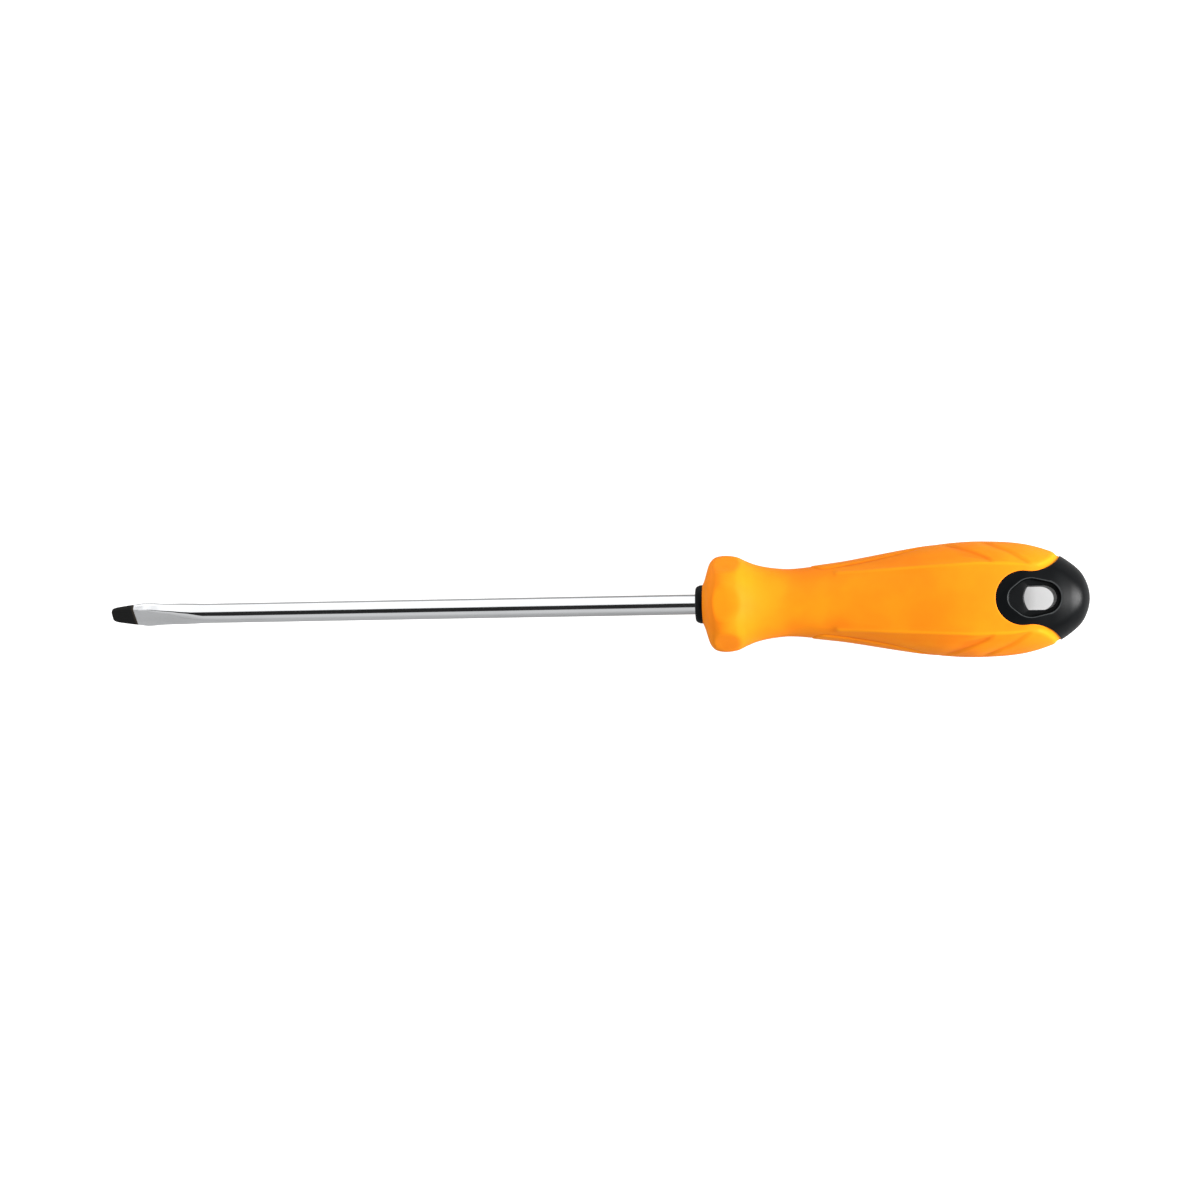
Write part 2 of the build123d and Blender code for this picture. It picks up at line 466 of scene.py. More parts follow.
@dataclass(frozen=True)
class RearWindow:
    """Outline, seen along Z, of the opening at the sleeve's rear: a round tongue and two wings."""

    tongue_at: float = 231.36
    tongue_radius: float = 6.8
    waist: float = 6.66
    throat_radius: float = 9.5
    wing_deg: float = 56.8
    wing_run: float = 6.0
    detail: int = 400
    thinned: int = 12
    neighbourhood: float = 12.0
    far: float = 50.0

    def outline(self, inset: float = 0.0) -> np.ndarray:
        """Half of the outline, from the tongue's tip to beyond the handle's side.

        Args:
            inset: How far the outline is moved into the sleeve.

        Returns:
            Rows of x and y.
        """
        turn = math.radians(self.wing_deg)
        throat_y = self.waist + self.throat_radius
        meet = math.asin(throat_y / (self.tongue_radius + self.throat_radius))
        throat_x = self.tongue_at + throat_y / math.tan(meet)
        tongue = arc(self.tongue_at, self.tongue_radius + inset, np.linspace(math.pi, meet, self.detail))
        sweep = np.linspace(meet - math.pi, turn - QUARTER, self.detail)
        throat = arc(throat_x, self.throat_radius - inset, sweep, throat_y)
        run = np.linspace(0.0, self.wing_run, 4 * self.detail)[:, None]
        wing = throat[-1] + run * np.array([math.cos(turn), math.sin(turn)])
        return np.vstack([tongue, throat[1:], wing[1:]])

    def on_form(self, form: GripForm, inset: float, count: int, rise: float = 0.0) -> np.ndarray:
        """The outline laid on the handle's surface, from its wide side to the tongue's tip.

        Args:
            form: The surface.
            inset: How far the outline is moved into the sleeve.
            count: How many points to return.
            rise: How far the surface is moved out.

        Returns:
            Rows of place and angle, evenly spaced by length.
        """
        line = self.outline(inset)
        inside = line[:, 1] < form.radius(line[:, 0], np.zeros(len(line)), rise)
        line = line[: np.argmin(inside)] if not inside.all() else line
        angle = form.angle_of(line[:, 0], line[:, 1], rise)
        angle[0], angle[-1] = QUARTER, 0.0
        space = cylinder_to_space(line[:, 0], angle, form.radius(line[:, 0], angle, rise))
        spread = even_spread(space[::-1], count)
        spread_angle = np.arctan2(spread[:, 2], spread[:, 1])
        spread_angle[0], spread_angle[-1] = 0.0, QUARTER
        return np.column_stack([spread[:, 0], spread_angle])

    def distance(self, x: np.ndarray, y: np.ndarray) -> np.ndarray:
        """Distance of points from the outline, seen along Z.

        Args:
            x: Places along the axis.
            y: Distances from the middle plane.

        Returns:
            The distances, or far for points well in front of the opening.
        """
        line = self.outline()[:: self.thinned]
        out = np.full(x.shape, self.far)
        near = x > self.tongue_at - self.neighbourhood
        gap = np.hypot(x[near][:, None] - line[:, 0], y[near][:, None] - line[:, 1])
        out[near] = gap.min(axis=1)
        return out


# --- soft sleeve ------------------------------------------------------------------------------------


@dataclass(frozen=True)
class Chevron:
    """One V-shaped groove across the handle's wide side, its point towards the blade.

    Attributes:
        line: Distance round the handle from the middle of the wide side, and place of the groove.
        depth: Depth of the groove at its bottom.
        reach: Distances round the handle between which the groove fades out.
        wake: Distances round the handle between which the groove fades in.
        ramp: Width of the long slope in front of the bottom.
        swell: How much the long slope is bowed out.
        wall: Width of the short slope behind it.
    """

    line: Points
    depth: float
    reach: Span
    wake: Span = (0.5, 5.0)
    ramp: float = 3.2
    swell: float = 0.6
    wall: float = 1.1

    def height(self, x: np.ndarray, around: np.ndarray) -> np.ndarray:
        """Height of the groove, below zero, at each place.

        Args:
            x: Places along the axis.
            around: Distances round the handle from the middle of the wide side.

        Returns:
            The heights, zero or below.
        """
        curve = SmoothLine(self.line, start=(1, 0.15))
        step = 0.2
        lean = (curve.at(around + step) - curve.at(around - step)) / (2 * step)
        behind = (x - curve.at(around)) / np.hypot(1.0, lean)
        front = np.clip(1 + behind / self.ramp, 0, 1)
        front = front * front * (1 + self.swell - self.swell * front)
        back = 1 - smooth(behind, 0.0, self.wall)
        hollow = np.where(behind < 0, front, back)
        shown = smooth(around, self.reach[1], self.reach[0]) * smooth(around, *self.wake)
        return -self.depth * hollow * shown


@dataclass
class GripSleeve:
    """Soft orange sleeve, with its flange, panels, side pads, chevrons and rounded lips."""

    form: GripForm = field(default_factory=GripForm)
    window: RearWindow = field(default_factory=RearWindow)
    columns: int = 80
    front_rows: int = 104
    rear_rows: int = 116
    spread_from: float = 190.0
    lip_radius: float = 0.16
    lip_rows: int = 5
    wall_rows: int = 3
    inner_rows: int = 14
    bore_radius: float = 4.42
    ridge: Points = (
        (184.0, 6.95), (199.6, 7.75), (216.5, 8.6), (220.5, 8.75), (231.2, 8.35), (238.0, 7.9),
    )
    ridge_from: Span = (184.8, 185.8)
    ridge_to: Span = (234.5, 232.5)
    ridge_height: float = 0.26
    ridge_width: float = 0.6
    flute_depth: float = 0.2
    flute_width: float = 1.5
    flute_off: float = 2.1
    flute_from: Span = (181.0, 190.0)
    flute_to: Span = (229.0, 217.0)
    pad_front: float = 179.2
    pad_round: float = 3.6
    pad_from: Span = (178.6, 179.6)
    pad_to: Span = (212.0, 205.0)
    pad_edge: Span = (-0.2, 0.7)
    pad_height: float = 0.17
    pad_groove: float = 0.26
    pad_groove_width: float = 0.42
    pad_spread: Points = (
        (179.0, 4.5), (190.0, 4.75), (199.6, 4.55), (206.0, 3.0), (211.0, 0.0),
    )
    lobe_step: float = 0.46
    lobe_painted_highlight: float = 0.22
    lobe_band: Span = (2.1, 1.0)
    lobe_from: Span = (233.0, 236.0)
    lobe_to_deg: Span = (60.0, 48.0)
    lip_clearance: Span = (0.6, 2.4)
    chevrons: tuple[Chevron, ...] = (
        Chevron(
            line=(
                (0.0, 211.3), (3.0, 212.6), (6.1, 215.1), (7.7, 216.9), (9.5, 219.3), (11.5, 222.2),
                (13.7, 224.0), (16.0, 225.0),
            ),
            depth=0.33,
            reach=(11.2, 13.6),
        ),
        Chevron(
            line=(
                (0.0, 220.6), (3.0, 222.0), (6.4, 225.0), (8.1, 227.4), (10.8, 230.9), (12.7, 233.7),
                (15.0, 236.0),
            ),
            depth=0.3,
            reach=(12.2, 14.0),
        ),
    )

    def relief(self, x: np.ndarray, angle: np.ndarray, radius: np.ndarray) -> np.ndarray:
        """Height of the moulded detail above the plain form.

        Args:
            x: Places along the axis.
            angle: Angles about it, from the wide side.
            radius: Radius of the plain form at those places.

        Returns:
            The height, in the direction away from the axis.
        """
        y = radius * np.cos(angle)
        around = radius * angle
        beside = y - SmoothLine(self.ridge).at(x)
        shown = smooth(x, *self.ridge_from) * smooth(x, *self.ridge_to)
        height = self.ridge_height * bump(beside, self.ridge_width) * shown
        shown = smooth(x, *self.flute_from) * smooth(x, *self.flute_to)
        height -= self.flute_depth * bump(beside - self.flute_off, self.flute_width) * shown

        nose = np.clip((self.pad_front + self.pad_round - x) / self.pad_round, 0, 1)
        half = SmoothLine(self.pad_spread).at(x) * np.sqrt(np.clip(1 - nose**2, 0, 1))
        within = half - around
        shown = smooth(x, *self.pad_from) * smooth(x, *self.pad_to)
        height += self.pad_height * smooth(within, *self.pad_edge) * shown
        height -= self.pad_groove * bump(within, self.pad_groove_width) * shown

        away = self.window.distance(x.ravel(), y.ravel()).reshape(x.shape)
        clear_of_lip = smooth(away, *self.lip_clearance)
        for chevron in self.chevrons:
            height += chevron.height(x, around) * clear_of_lip
        return height - self.lobe_step * self.on_lobe(x, angle, away)

    def on_lobe(self, x: np.ndarray, angle: np.ndarray, away: np.ndarray) -> np.ndarray:
        """Share of the sunk band that edges the two rear lobes, away being the way to the opening."""
        lobe = smooth(np.degrees(angle), *self.lobe_to_deg) * smooth(x, *self.lobe_from)
        return smooth(away, *self.lobe_band) * lobe

    def surface(self, x: np.ndarray, angle: np.ndarray, drop: float = 0.0) -> np.ndarray:
        """Points of the detailed outer surface, lowered by drop."""
        radius = self.form.radius(x, angle)
        return cylinder_to_space(x, angle, radius + self.relief(x, angle, radius) - drop)

    def outer_rows(self) -> np.ndarray:
        """Rows from the nose to the start of the rear lip.

        Returns:
            Rows by columns of points.
        """
        front = self.form.side_line().traced()
        front = front[front[:, 0] <= self.spread_from]
        stations = even_spread(front, self.front_rows)[:, 0]
        level = np.linspace(0.0, QUARTER, self.columns + 1)
        x_front, angle_front = np.meshgrid(stations, level, indexing="ij")
        lip = self.window.on_form(self.form, self.lip_radius, self.columns + 1)
        t = np.linspace(0.0, 1.0, self.rear_rows + 1)[1:, None]
        x_rear = self.spread_from + (lip[:, 0] - self.spread_from) * t
        angle_rear = level + (lip[:, 1] - level) * smooth(t, 0.0, 1.0)
        x = np.vstack([x_front, x_rear])
        angle = np.vstack([angle_front, angle_rear])
        return self.surface(x, angle)

    def lip_rows_and_wall(self) -> np.ndarray:
        """Rows that round the rear lip over and go down the opening's wall.

        Returns:
            Rows by columns of points.
        """
        rows = []
        for turn in np.linspace(0.0, QUARTER, self.lip_rows + 1)[1:]:
            inset = self.lip_radius * (1 - math.sin(turn))
            edge = self.window.on_form(self.form, inset, self.columns + 1)
            rows.append(self.surface(edge[:, 0], edge[:, 1], self.lip_radius * (1 - math.cos(turn))))
        for drop in np.linspace(self.lip_radius, self.form.wall_depth, self.wall_rows + 1)[1:]:
            rows.append(self.surface(edge[:, 0], edge[:, 1], drop))
        return np.stack(rows)

    def inner_rows_to_nose(self, last: np.ndarray) -> np.ndarray:
        """Rows of the hidden inner face, from the opening back to the nose.

        Args:
            last: The last row of the opening's wall.

        Returns:
            Rows that end at the nose's bore.
        """
        level = np.linspace(0.0, QUARTER, self.columns + 1)
        bore = [(self.form.inner_line[0][0], self.bore_radius), (self.form.front, self.bore_radius)]
        return np.stack(self.form.hidden_rows(last, level, self.inner_rows) + turned_rows(bore, level))

    def note_relief(self, piece: bpy.types.Object) -> None:
        """Keeps the height of the detail, in millimetres, as a layer that the finish can read.

        The band on the lobes counts as raised, so that the finish gives it a painted highlight.

        Args:
            piece: The quarter of the sleeve.
        """
        x, y, z = vertex_places(piece).T / MM
        angle = np.arctan2(z, y)
        above = np.hypot(y, z) - self.form.radius(x, angle)
        # Painted highlight: the sunk band on the lobes is noted as standing up, so the finish colours it like a lit
        # ridge.
        above += (self.lobe_step + self.lobe_painted_highlight) * self.on_lobe(x, angle, self.window.distance(x, y))
        keep_layer(piece, RELIEF_LAYER, np.clip(above, -self.form.wall_depth, 1.0))

    def build(self) -> bpy.types.Object:
        """Lays a quarter of the sleeve over its form and mirrors it into the whole.

        Returns:
            The sleeve's piece.
        """
        outer = self.outer_rows()
        lip = self.lip_rows_and_wall()
        inner = self.inner_rows_to_nose(lip[-1])
        table = np.concatenate([outer, lip, inner, outer[:1]])
        table[:, 0, 2] = 0.0
        table[:, -1, 1] = 0.0
        piece = patch("soft_grip_sleeve", table)
        self.note_relief(piece)
        mirrored_whole(piece)
        smooth_shaded(piece, self.form.crease_deg)
        return piece


# --- hard core --------------------------------------------------------------------------------------


@dataclass
class HandleCore:
    """Hard black core: collar, hidden body, tongue and dome, with the dished hanging slot."""

    form: GripForm = field(default_factory=GripForm)
    window: RearWindow = field(default_factory=RearWindow)
    relief: float = 0.15
    seam_gap: float = 0.03
    tongue_columns: int = 64
    dome_columns: int = 34
    dish_rings: int = 30
    skin_rings: int = 30
    hub_x: float = 236.2
    slot_front: float = 231.7
    slot_rear: float = 239.85
    slot_half: float = 3.03
    slot_bow: float = 4.7
    slot_rear_reach: float = 3.5
    slot_edge: float = 0.12
    dish_circles: Points = ((230.85, 3.3), (233.4, 4.9), (236.75, 4.15))
    dish_wall: Points = (
        (0.0, 0.0), (0.1, 0.02), (0.2, 0.09), (0.28, 0.24), (0.35, 0.6), (0.42, 1.3), (9.0, 1.3),
    )
    dish_fall: float = 0.7
    dish_crowding: float = 1.8
    # Width of the painted highlight along the dish's brink.
    rim_highlight_reach: float = 0.16
    arc_steps: int = 120
    outline_points: int = 600
    side_points: int = 200
    slot_levels: tuple[float, ...] = (0.0, 0.25, 0.5, 0.75)
    sink_fade: int = 8
    wall_drops: tuple[float, ...] = (0.7, 1.4, 2.15)
    hidden_rows: int = 16
    spigot_radius: float = 4.38
    collar: Points = (
        (151.8, 4.85), (151.2, 4.82), (150.6, 4.62), (150.2, 4.34), (150.03, 4.05), (150.0, 3.8),
    )
    bore_radius: float = 2.515
    tang_end: float = 222.05

    def slot_outline(self) -> np.ndarray:
        """Half outline of the hanging slot seen along Z, front to rear: bowed, flat, then round.

        Returns:
            Rows of x and y.
        """
        bow_x = self.slot_front + self.slot_bow
        meet = math.acos(-math.sqrt(1 - (self.slot_half / self.slot_bow) ** 2))
        bow = arc(bow_x, self.slot_bow, np.linspace(math.pi, meet, self.arc_steps // 2))
        rear = arc(0.0, 1.0, np.linspace(QUARTER, 0.0, self.arc_steps)) * (self.slot_rear_reach, self.slot_half)
        rear[:, 0] += self.slot_rear - self.slot_rear_reach
        return even_spread(np.vstack([bow, rear]), self.outline_points)

    def dish_outline(self) -> np.ndarray:
        """Half outline of the dish seen along Z: its circles in one tight band.

        Returns:
            Rows of x and y.
        """
        turns = [math.pi]
        for (x, radius), (next_x, next_radius) in zip(self.dish_circles, self.dish_circles[1:]):
            turns.append(QUARTER + math.asin((next_radius - radius) / (next_x - x)))
        turns.append(0.0)
        outline = []
        for (x, radius), start, end in zip(self.dish_circles, turns, turns[1:]):
            outline.append(arc(x, radius, np.linspace(start, end, self.arc_steps)))
        return even_spread(np.vstack(outline), self.outline_points)

    def seen_from_hub(self, outline: np.ndarray, bearing: np.ndarray) -> np.ndarray:
        """Points where rays from the hub, at the given bearings, meet an outline.

        Args:
            outline: Rows of x and y round the hub.
            bearing: Angles of the rays, from +X.

        Returns:
            Rows of x and y, one for each ray.
        """
        offset = outline - np.array([self.hub_x, 0.0])
        angle = np.arctan2(offset[:, 1], offset[:, 0])
        reach = np.hypot(offset[:, 0], offset[:, 1])
        far = np.interp(bearing, angle[::-1], reach[::-1])
        return arc(self.hub_x, far, bearing)

    def rim(self) -> np.ndarray:
        """Outer edge of the visible skin: the sleeve's opening, then the dome's side to its end.

        Returns:
            Rows of points, from the tongue's tip to the dome's end.
        """
        edge = self.window.on_form(self.form, -self.seam_gap, self.tongue_columns + 1, -self.relief)[::-1]
        radius = self.form.radius(edge[:, 0], edge[:, 1], -self.relief)
        opening = cylinder_to_space(edge[:, 0], edge[:, 1], radius)
        share = np.sin(np.linspace(0, QUARTER, self.side_points))
        x = opening[-1, 0] + (self.form.rear - opening[-1, 0]) * share
        side = cylinder_to_space(x, np.zeros_like(x), self.form.radius(x, np.zeros_like(x), -self.relief))
        side[-1, 1] = 0.0
        return np.vstack([opening, even_spread(side, self.dome_columns + 1)[1:]])

    def top_height(self, place: np.ndarray) -> np.ndarray:
        """Height of the skin above the middle plane at places seen along Z."""
        angle = self.form.angle_of(place[:, 0], place[:, 1], -self.relief)
        return self.form.radius(place[:, 0], angle, -self.relief) * np.sin(angle)

    def skin_rows(self) -> np.ndarray:
        """Rings of the visible skin, from the slot's middle out over the dish to the rim.

        Returns:
            Rows by columns of points.
        """
        rim = self.rim()
        bearing = np.arctan2(rim[:, 1], rim[:, 0] - self.hub_x)
        slot = self.seen_from_hub(self.slot_outline(), bearing)
        dish = self.seen_from_hub(self.dish_outline(), bearing)
        width = np.linalg.norm(dish - slot, axis=1)
        inward, fall = zip(*self.dish_wall)
        rings = []
        for share in 1 - (1 - np.linspace(0.0, 1.0, self.dish_rings + 1)) ** self.dish_crowding:
            place = slot + (dish - slot) * share
            depth = np.interp(width * (1 - share), inward, fall) + self.dish_fall * (1 - share)
            from_slot = np.clip(width * share / self.slot_edge, 0.0, 1.0)
            depth = depth + self.slot_edge * (1 - np.sqrt(1 - (1 - from_slot) ** 2))
            rings.append(np.column_stack([place, self.top_height(place) - depth]))
        brink, edge = rings[0], rings[-1]
        wall = [np.column_stack([brink[:, :2], brink[:, 2] * level]) for level in self.slot_levels]
        sink = edge[:, 2] - self.top_height(edge[:, :2])
        skin = []
        for t in np.linspace(0.0, 1.0, self.skin_rings + 1)[1:]:
            straight = edge + (rim - edge) * t
            x = edge[:, 0] + (rim[:, 0] - edge[:, 0]) * math.sin(QUARTER * t)
            angle = np.arctan2(straight[:, 2], straight[:, 1])
            ring = cylinder_to_space(x, angle, self.form.radius(x, angle, -self.relief))
            ring[:, 2] += sink * (1 - t) ** self.sink_fade
            skin.append(ring)
        skin[-1] = rim
        table = np.stack([*wall, *rings, *skin])
        table[:, 0, 1] = 0.0
        table[:, -1, 1] = 0.0
        return table

    def hidden_rows_to_bore(self, opening: np.ndarray) -> np.ndarray:
        """Rows from the sleeve's opening under the sleeve, round the collar and down the bore.

        Args:
            opening: The part of the skin's rim that runs along the sleeve's opening.

        Returns:
            Rows that end on the axis at the bore's bottom.
        """
        x, y, z = opening.T
        level = np.linspace(QUARTER, 0.0, len(opening))
        rows = [opening]
        for drop in self.wall_drops:
            rows.append(cylinder_to_space(x, np.arctan2(z, y), np.hypot(y, z) - drop))
        rows += self.form.hidden_rows(opening, level, self.hidden_rows, self.seam_gap)
        front, bore = self.collar[-1][0], self.bore_radius
        turned = [(self.form.inner_line[0][0], self.spigot_radius), (self.form.front, self.spigot_radius)]
        turned += [*self.collar, (front, bore), (self.tang_end, bore), (self.tang_end, 0.0)]
        return np.stack(rows + turned_rows(turned, level))

    def note_rim_highlight(self, piece: bpy.types.Object) -> None:
        """Marks the dish's brink for a painted highlight, from 1 on its line to 0 at the reach set for it, for the
        finish.

        Args:
            piece: The skin's patch.
        """
        x, y, _ = vertex_places(piece).T / MM
        brink = self.seen_from_hub(self.dish_outline(), np.arctan2(y, x - self.hub_x))
        away = np.abs(np.hypot(x - self.hub_x, y) - np.hypot(brink[:, 0] - self.hub_x, brink[:, 1]))
        keep_layer(piece, RIM_HIGHLIGHT_LAYER, np.clip(1 - away / self.rim_highlight_reach, 0.0, 1.0))

    def build(self) -> bpy.types.Object:
        """Lays a quarter of the core over its form and mirrors it into the whole.

        Returns:
            The core's piece.
        """
        table = self.skin_rows()
        hidden = self.hidden_rows_to_bore(table[-1, : self.tongue_columns + 1])
        hidden[:, 0, 1] = 0.0
        hidden[:, -1, 2] = 0.0
        skin = patch("skin", table)
        self.note_rim_highlight(skin)
        piece = joined("moulded_handle_core", [skin, patch("hidden", hidden)])
        mirrored_whole(piece)
        smooth_shaded(piece, self.form.crease_deg)
        return piece


# --- steel ------------------------------------------------------------------------------------------


@dataclass
class Shank:
    """Steel bar: ground and flared blade, plated rod, and the eared tang inside the handle."""

    segments: int = 128
    edge_segments: int = 28
    radius: float = 2.5
    tang_end: float = 222.0
    blade_roll_deg: float = -42.6
    blade_root: float = 24.0
    half_width: Points = (
        (0.0, 1.3), (0.1, 1.56), (0.35, 1.88), (0.85, 2.16), (1.7, 2.38), (4.3, 2.78), (6.6, 3.02),
        (9.2, 3.3), (13.0, 2.94), (18.2, 2.74), (24.0, 2.5),
    )
    half_thickness: Points = (
        (0.0, 0.4), (0.08, 0.425), (4.3, 0.74), (9.2, 1.28), (13.0, 1.47), (16.0, 1.68), (18.2, 1.95),
        (20.5, 2.15), (23.0, 2.6), (24.0, 2.75),
    )
    edge_round: Points = ((0.0, 0.02), (6.0, 0.12), (11.0, 0.5), (16.0, 0.75), (24.0, 0.8))
    widest_edge_deg: float = 58.0
    tip_stations: tuple[float, ...] = (0.0, 0.03, 0.08, 0.16, 0.28, 0.42)
    blade_from: float = 0.6
    blade_rows: int = 64
    rod_end: float = 176.0
    rod_rows: int = 40
    tang_chamfer: float = 0.6
    ear_centres: Points = ((182.0, 0.0), (208.0, 90.0))
    ear_length: float = 8.0
    ear_ramp: float = 1.8
    ear_half_span: float = 4.2
    ear_half_thickness: float = 1.1
    end_shares: Span = (0.55, 0.2)
    crease_deg: float = 32.0

    def stations(self) -> list[float]:
        """Places along the axis of the bar's cross-sections, from the blade's end.

        Returns:
            The places, rising.
        """
        blade = [*self.tip_stations, *np.linspace(self.blade_from, self.blade_root, self.blade_rows)]
        rod = np.linspace(self.blade_root, self.rod_end, self.rod_rows)[1:]
        base = self.ear_length / 2
        top = base - self.ear_ramp
        ears = [centre + off for centre, _ in self.ear_centres for off in (-base, -top, top, base)]
        return [float(x) for x in (*blade, *rod, *ears, self.tang_end - self.tang_chamfer, self.tang_end)]

    def corners(self, edge: float) -> np.ndarray:
        """Angles of a cross-section's corners, crowded where its two edges are.

        Args:
            edge: Half the angle that each edge takes up.

        Returns:
            The angles, counted round from the middle of one edge's lower end.
        """
        flat_segments = self.segments // 2 - self.edge_segments
        narrow = np.linspace(-edge, edge, self.edge_segments + 1)
        wide = np.linspace(edge, math.pi - edge, flat_segments + 1)[1:-1]
        half = np.concatenate([narrow, wide])
        return np.concatenate([half, half + math.pi])

    def section(self, x: float) -> np.ndarray:
        """Cross-section of the bar, as rows of y and z.

        Args:
            x: Place along the axis.

        Returns:
            One row for each segment, counted round from +Y.
        """
        if x > self.blade_root:
            return self.tang_section(x)
        wide, thick, blend = (SmoothLine(s).at(x) for s in (self.half_width, self.half_thickness, self.edge_round))
        angle = self.corners(min(math.asin(min(thick / wide, 1.0)), math.radians(self.widest_edge_deg)))
        reach = soft_min(np.full_like(angle, wide), thick / np.maximum(np.abs(np.sin(angle)), TINY), blend)
        return arc(0.0, reach, angle + math.radians(self.blade_roll_deg) + QUARTER)

    def tang_section(self, x: float) -> np.ndarray:
        """Round cross-section, with ears where the tang has them.

        Args:
            x: Place along the axis.

        Returns:
            One row of y and z for each segment.
        """
        angle = self.corners(math.radians(self.widest_edge_deg)) + math.radians(self.blade_roll_deg) + QUARTER
        reach = np.full_like(angle, self.radius - (self.tang_chamfer if x >= self.tang_end else 0.0))
        for centre, across_deg in self.ear_centres:
            lift = np.clip((self.ear_length / 2 - abs(x - centre)) / self.ear_ramp, 0, 1)
            if lift > 0:
                span = self.radius + (self.ear_half_span - self.radius) * lift
                turn = angle - math.radians(across_deg)
                along = np.maximum(np.abs(np.cos(turn)), TINY)
                across = np.maximum(np.abs(np.sin(turn)), TINY)
                reach = np.maximum(reach, np.minimum(span / along, self.ear_half_thickness / across))
        return arc(0.0, reach, angle)

    def build(self) -> bpy.types.Object:
        """Draws a round bar out of a circle, grinds the sections to shape and closes the blade's end.

        Returns:
            The shank's piece.
        """
        places = self.stations()
        start_fresh()
        bpy.ops.mesh.primitive_circle_add(
            vertices=self.segments,
            radius=self.radius * MM,
            location=(places[0] * MM, 0, 0),
            rotation=(0, QUARTER, 0),
        )
        piece = bpy.context.object
        piece.name = "plated_shank"
        bpy.ops.object.transform_apply(location=True, rotation=True, scale=True)
        bpy.ops.object.mode_set(mode="EDIT")
        bpy.ops.mesh.select_all(action="SELECT")
        for before, here in zip(places, places[1:]):
            bpy.ops.mesh.extrude_region_move(TRANSFORM_OT_translate={"value": ((here - before) * MM, 0, 0)})
        bpy.ops.object.mode_set(mode="OBJECT")
        self.grind(piece, places)
        self.close_tip(piece, places[0])
        weld_and_face_out(piece)
        smooth_shaded(piece, self.crease_deg)
        return piece

    def grind(self, piece: bpy.types.Object, places: list[float]) -> None:
        """Moves every vertex of the drawn bar onto its cross-section.

        Args:
            piece: The drawn bar.
            places: Places of its cross-sections.
        """
        spots = vertex_places(piece)
        row = np.abs(spots[:, :1] / MM - np.array(places)).argmin(axis=1)
        turn = np.arctan2(spots[:, 2], spots[:, 1])
        segment = np.rint(turn / math.tau * self.segments).astype(int) % self.segments
        sections = np.stack([self.section(x) for x in places])
        spots[:, 1:] = sections[row, segment] * MM
        place_vertices(piece, spots)

    def close_tip(self, piece: bpy.types.Object, place: float) -> None:
        """Closes the blade's end with rings of faces. The tang's end stays open inside its bore.

        Args:
            piece: The drawn bar.
            place: Place of the blade's end along the axis.
        """
        pick(piece)
        bpy.ops.object.mode_set(mode="EDIT")
        bpy.ops.mesh.select_mode(type="VERT")
        bpy.ops.mesh.select_all(action="DESELECT")
        bpy.ops.object.mode_set(mode="OBJECT")
        for vertex in piece.data.vertices:
            vertex.select = abs(vertex.co.x / MM - place) < TINY
        bpy.ops.object.mode_set(mode="EDIT")
        for share in self.end_shares:
            bpy.ops.mesh.extrude_region_move(TRANSFORM_OT_translate={"value": (0, 0, 0)})
            bpy.ops.transform.resize(value=(1, share, share), center_override=(place * MM, 0, 0))
        bpy.ops.mesh.merge(type="CENTER")
        bpy.ops.object.mode_set(mode="OBJECT")


# --- finishes ---------------------------------------------------------------------------------------


class NodeSketch:
    """A node tree, built up a node at a time."""

    def __init__(self, tree: bpy.types.NodeTree) -> None:
        """Starts with an emptied tree."""
        self.tree = tree
        self.tree.nodes.clear()

    def add(self, kind: str, **settings: object) -> bpy.types.Node:
        """New node of a kind, with its properties set.

        Args:
            kind: The node's type.
            settings: Values of its properties.

        Returns:
            The node.
        """
        node = self.tree.nodes.new(kind)
        for name, value in settings.items():
            setattr(node, name, value)
        return node

    def join(self, source: bpy.types.NodeSocket, target: bpy.types.NodeSocket) -> None:
        """Link from one socket to another."""
        self.tree.links.new(source, target)

    def maths(self, kind: str, *terms: object) -> bpy.types.NodeSocket:
        """One sum on sockets or numbers.

        Args:
            kind: The operation.
            terms: What it works on, in order.

        Returns:
            The result's socket.
        """
        node = self.add("ShaderNodeMath", operation=kind)
        for value, socket in zip(terms, node.inputs):
            if isinstance(value, (int, float)):
                socket.default_value = value
            else:
                self.join(value, socket)
        return node.outputs[0]

    def remap(
        self, source: bpy.types.NodeSocket, span: Span, to: Span = (0.0, 1.0), way: str = "SMOOTHSTEP"
    ) -> bpy.types.NodeSocket:
        """Value moved from one span to another, softly or in a straight line, and held inside it.

        Args:
            source: The value's socket.
            span: Where the value starts and ends.
            to: What those two become.
            way: How it goes between them.

        Returns:
            The moved value's socket.
        """
        node = self.add("ShaderNodeMapRange", interpolation_type=way)
        node.inputs["From Min"].default_value, node.inputs["From Max"].default_value = span
        node.inputs["To Min"].default_value, node.inputs["To Max"].default_value = to
        self.join(source, node.inputs["Value"])
        return node.outputs["Result"]

    def levels(self, source: bpy.types.NodeSocket, stops: Points) -> bpy.types.NodeSocket:
        """Value read off straight lines between stops of place and level.

        Args:
            source: The place's socket.
            stops: Pairs of place and level, with the places rising.

        Returns:
            The level's socket.
        """
        level = stops[0][1]
        for (at, before), (to, after) in zip(stops, stops[1:]):
            rise = self.remap(source, (at, to), (0.0, after - before), "LINEAR")
            level = self.maths("ADD", rise, level)
        return level


